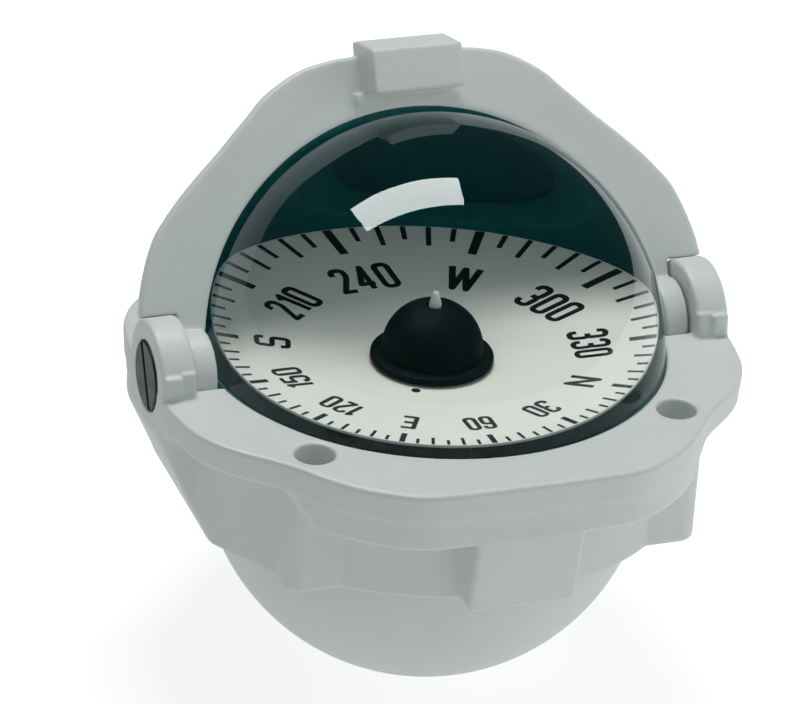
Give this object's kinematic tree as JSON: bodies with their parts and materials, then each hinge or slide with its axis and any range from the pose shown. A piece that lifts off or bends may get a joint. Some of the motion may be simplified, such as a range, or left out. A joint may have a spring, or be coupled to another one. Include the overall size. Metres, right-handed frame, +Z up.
{
  "type": "flush-mount marine steering compass",
  "caption": "Flush-mount marine steering compass with a white flanged housing, fluid dome over a flat card on inner gimbals, round bowl and hinged hood.",
  "frame": {"origin": "lowest point of the bowl, on the compass axis, under the centre of the box", "axes": "+Z up along the compass axis, +X to the right along the hood hinge, front of the compass at -Y"},
  "size_m": [0.1226, 0.121, 0.13],
  "materials": {
    "white_plastic": "satin moulded plastic with a fine grain",
    "black_plastic": "smooth dark moulded plastic",
    "clear_dome": "polished clear acrylic",
    "rubber": "matt rubber",
    "card_white": "printed matt white disc",
    "brass": "machined brass",
    "steel": "ground steel",
    "lead": "dull cast metal",
    "magnet": "sintered magnet",
    "bush_nylon": "dark nylon",
    "jewel": "polished synthetic ruby",
    "lamp_red": "red lens",
    "clear_pin": "polished pale plastic"
  },
  "bodies": {
    "case": {"housing": "white_plastic", "bowl": "white_plastic", "bezel_ring": "black_plastic", "dome": "clear_dome", "dome_seal": "rubber", "capsule_base": "black_plastic", "retaining_ring": "black_plastic", "diaphragm": "rubber", "diaphragm_ring": "black_plastic", "filler_plug": "brass", "filler_plug_washer": "rubber", "gimbal_bracket": "black_plastic", "bracket_screw_left": "brass", "bracket_screw_right": "brass", "pivot_bush_left": "bush_nylon", "pivot_bush_right": "bush_nylon", "lamp_holder": "black_plastic", "lamp": "lamp_red", "lamp_terminal_left": "brass", "lamp_terminal_right": "brass"},
    "hood": {"hood": "white_plastic", "pivot_screw_left": "black_plastic", "pivot_screw_right": "black_plastic"},
    "gimbal_ring": {"gimbal_ring": "brass", "gimbal_pin_front": "steel", "gimbal_pin_rear": "steel"},
    "pivot_carrier": {"pivot_carrier": "brass", "carrier_pin_left": "steel", "carrier_pin_right": "steel", "counterweight": "lead", "pivot_needle": "steel"},
    "card": {"card_hub": "black_plastic", "hub_pin": "clear_pin", "card_disc": "card_white", "jewel_cup": "jewel", "magnet_left": "magnet", "magnet_right": "magnet"}
  },
  "joints": [
    {"name": "hood_hinge", "type": "hinge", "parent": "case", "child": "hood", "pos_m": [0, 0, 0.0723], "axis": [1, 0, 0], "range_deg": [0, 86]},
    {"name": "gimbal_roll", "type": "hinge", "parent": "case", "child": "gimbal_ring", "pos_m": [0, 0, 0.0556], "axis": [0, 1, 0], "range_deg": [-30, 30]},
    {"name": "gimbal_pitch", "type": "hinge", "parent": "gimbal_ring", "child": "pivot_carrier", "pos_m": [0, 0, 0.0556], "axis": [1, 0, 0], "range_deg": [-30, 30]},
    {"name": "card_turn", "type": "hinge", "parent": "pivot_carrier", "child": "card", "pos_m": [0, 0, 0.06894], "axis": [0, 0, 1], "continuous": true}
  ]
}
